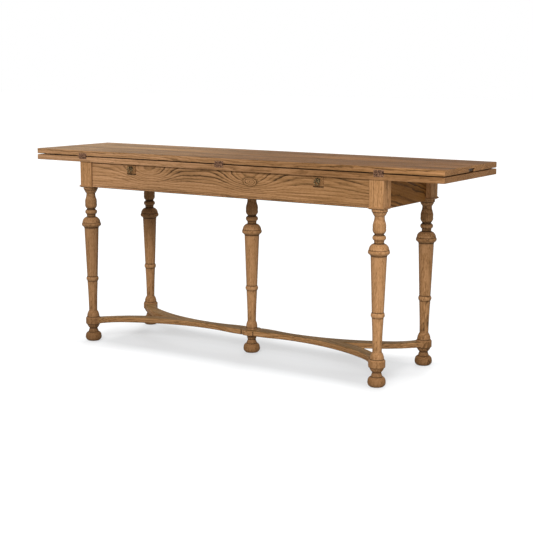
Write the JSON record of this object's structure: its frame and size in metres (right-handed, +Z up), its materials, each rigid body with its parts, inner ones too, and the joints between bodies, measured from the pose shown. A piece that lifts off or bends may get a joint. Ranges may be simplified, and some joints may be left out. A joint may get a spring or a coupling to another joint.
{
  "type": "extending console table",
  "caption": "Long console table on turned legs with a curved stretcher; the upper leaves fold out to front and back onto pull-out supports with ring pulls.",
  "frame": {"origin": "on the floor, under the middle of the table", "axes": "+X along the table's length, +Y towards its back, +Z up; the pictured front faces -Y"},
  "size_m": [1.778, 0.4492, 0.762],
  "materials": {
    "oak": "weathered brown oak, matt wax",
    "aged_bronze": "aged, dull",
    "steel_plate": "dull",
    "glide": "matt",
    "bumper": "matt"
  },
  "bodies": {
    "base": {"back_apron": "oak", "centre_rail": "oak", "fixed_top": "oak", "foot_glides": "glide", "front_apron": "oak", "glue_blocks": "oak", "hinge_fixed_plates_back": "aged_bronze", "hinge_fixed_plates_front": "aged_bronze", "hinge_pins_back": "aged_bronze", "hinge_pins_front": "aged_bronze", "leaf_bumpers": "bumper", "left_apron": "oak", "leg_back_left": "oak", "leg_back_right": "oak", "leg_centre": "oak", "leg_front_left": "oak", "leg_front_right": "oak", "loper_rail_inner_left": "oak", "loper_rail_inner_right": "oak", "loper_rail_middle_left": "oak", "loper_rail_middle_right": "oak", "loper_rail_outer_left": "oak", "loper_rail_outer_right": "oak", "loper_tray_left": "oak", "loper_tray_right": "oak", "post_back_left": "oak", "post_back_right": "oak", "post_front_left": "oak", "post_front_right": "oak", "post_lip_back_left": "oak", "post_lip_back_right": "oak", "post_lip_front_left": "oak", "post_lip_front_right": "oak", "right_apron": "oak", "stretcher_arm_back_left": "oak", "stretcher_arm_back_right": "oak", "stretcher_arm_front_left": "oak", "stretcher_arm_front_right": "oak", "stretcher_boss": "oak", "stretcher_tail_left": "oak", "stretcher_tail_right": "oak"},
    "front_leaf": {"front_leaf": "oak", "finger_plates_front": "steel_plate", "hinge_leaf_plates_front": "aged_bronze"},
    "back_leaf": {"back_leaf": "oak", "finger_plates_back": "steel_plate", "hinge_leaf_plates_back": "aged_bronze"},
    "loper_front_left": {"loper_front_left": "oak", "pull_eye_front_left": "aged_bronze"},
    "ring_front_left": {"pull_ring_front_left": "aged_bronze"},
    "loper_front_right": {"loper_front_right": "oak", "pull_eye_front_right": "aged_bronze"},
    "ring_front_right": {"pull_ring_front_right": "aged_bronze"},
    "loper_back_left": {"loper_back_left": "oak", "pull_eye_back_left": "aged_bronze"},
    "ring_back_left": {"pull_ring_back_left": "aged_bronze"},
    "loper_back_right": {"loper_back_right": "oak", "pull_eye_back_right": "aged_bronze"},
    "ring_back_right": {"pull_ring_back_right": "aged_bronze"}
  },
  "joints": [
    {"name": "front_leaf_hinge", "type": "hinge", "parent": "base", "child": "front_leaf", "pos_m": [0, -0.2165, 0.74], "axis": [1, 0, 0], "range_deg": [0, 180]},
    {"name": "back_leaf_hinge", "type": "hinge", "parent": "base", "child": "back_leaf", "pos_m": [0, 0.2165, 0.74], "axis": [-1, 0, 0], "range_deg": [0, 180]},
    {"name": "loper_front_left_slide", "type": "slide", "parent": "base", "child": "loper_front_left", "axis": [0, -1, 0], "range_m": [0, 0.17]},
    {"name": "ring_front_left_swing", "type": "hinge", "parent": "loper_front_left", "child": "ring_front_left", "pos_m": [-0.413, -0.22, 0.7076], "axis": [-1, 0, 0], "range_deg": [-15, 90]},
    {"name": "loper_front_right_slide", "type": "slide", "parent": "base", "child": "loper_front_right", "axis": [0, -1, 0], "range_m": [0, 0.17]},
    {"name": "ring_front_right_swing", "type": "hinge", "parent": "loper_front_right", "child": "ring_front_right", "pos_m": [0.413, -0.22, 0.7076], "axis": [-1, 0, 0], "range_deg": [-15, 90]},
    {"name": "loper_back_left_slide", "type": "slide", "parent": "base", "child": "loper_back_left", "axis": [0, 1, 0], "range_m": [0, 0.17]},
    {"name": "ring_back_left_swing", "type": "hinge", "parent": "loper_back_left", "child": "ring_back_left", "pos_m": [-0.356, 0.22, 0.7076], "axis": [1, 0, 0], "range_deg": [-15, 90]},
    {"name": "loper_back_right_slide", "type": "slide", "parent": "base", "child": "loper_back_right", "axis": [0, 1, 0], "range_m": [0, 0.17]},
    {"name": "ring_back_right_swing", "type": "hinge", "parent": "loper_back_right", "child": "ring_back_right", "pos_m": [0.356, 0.22, 0.7076], "axis": [1, 0, 0], "range_deg": [-15, 90]}
  ]
}
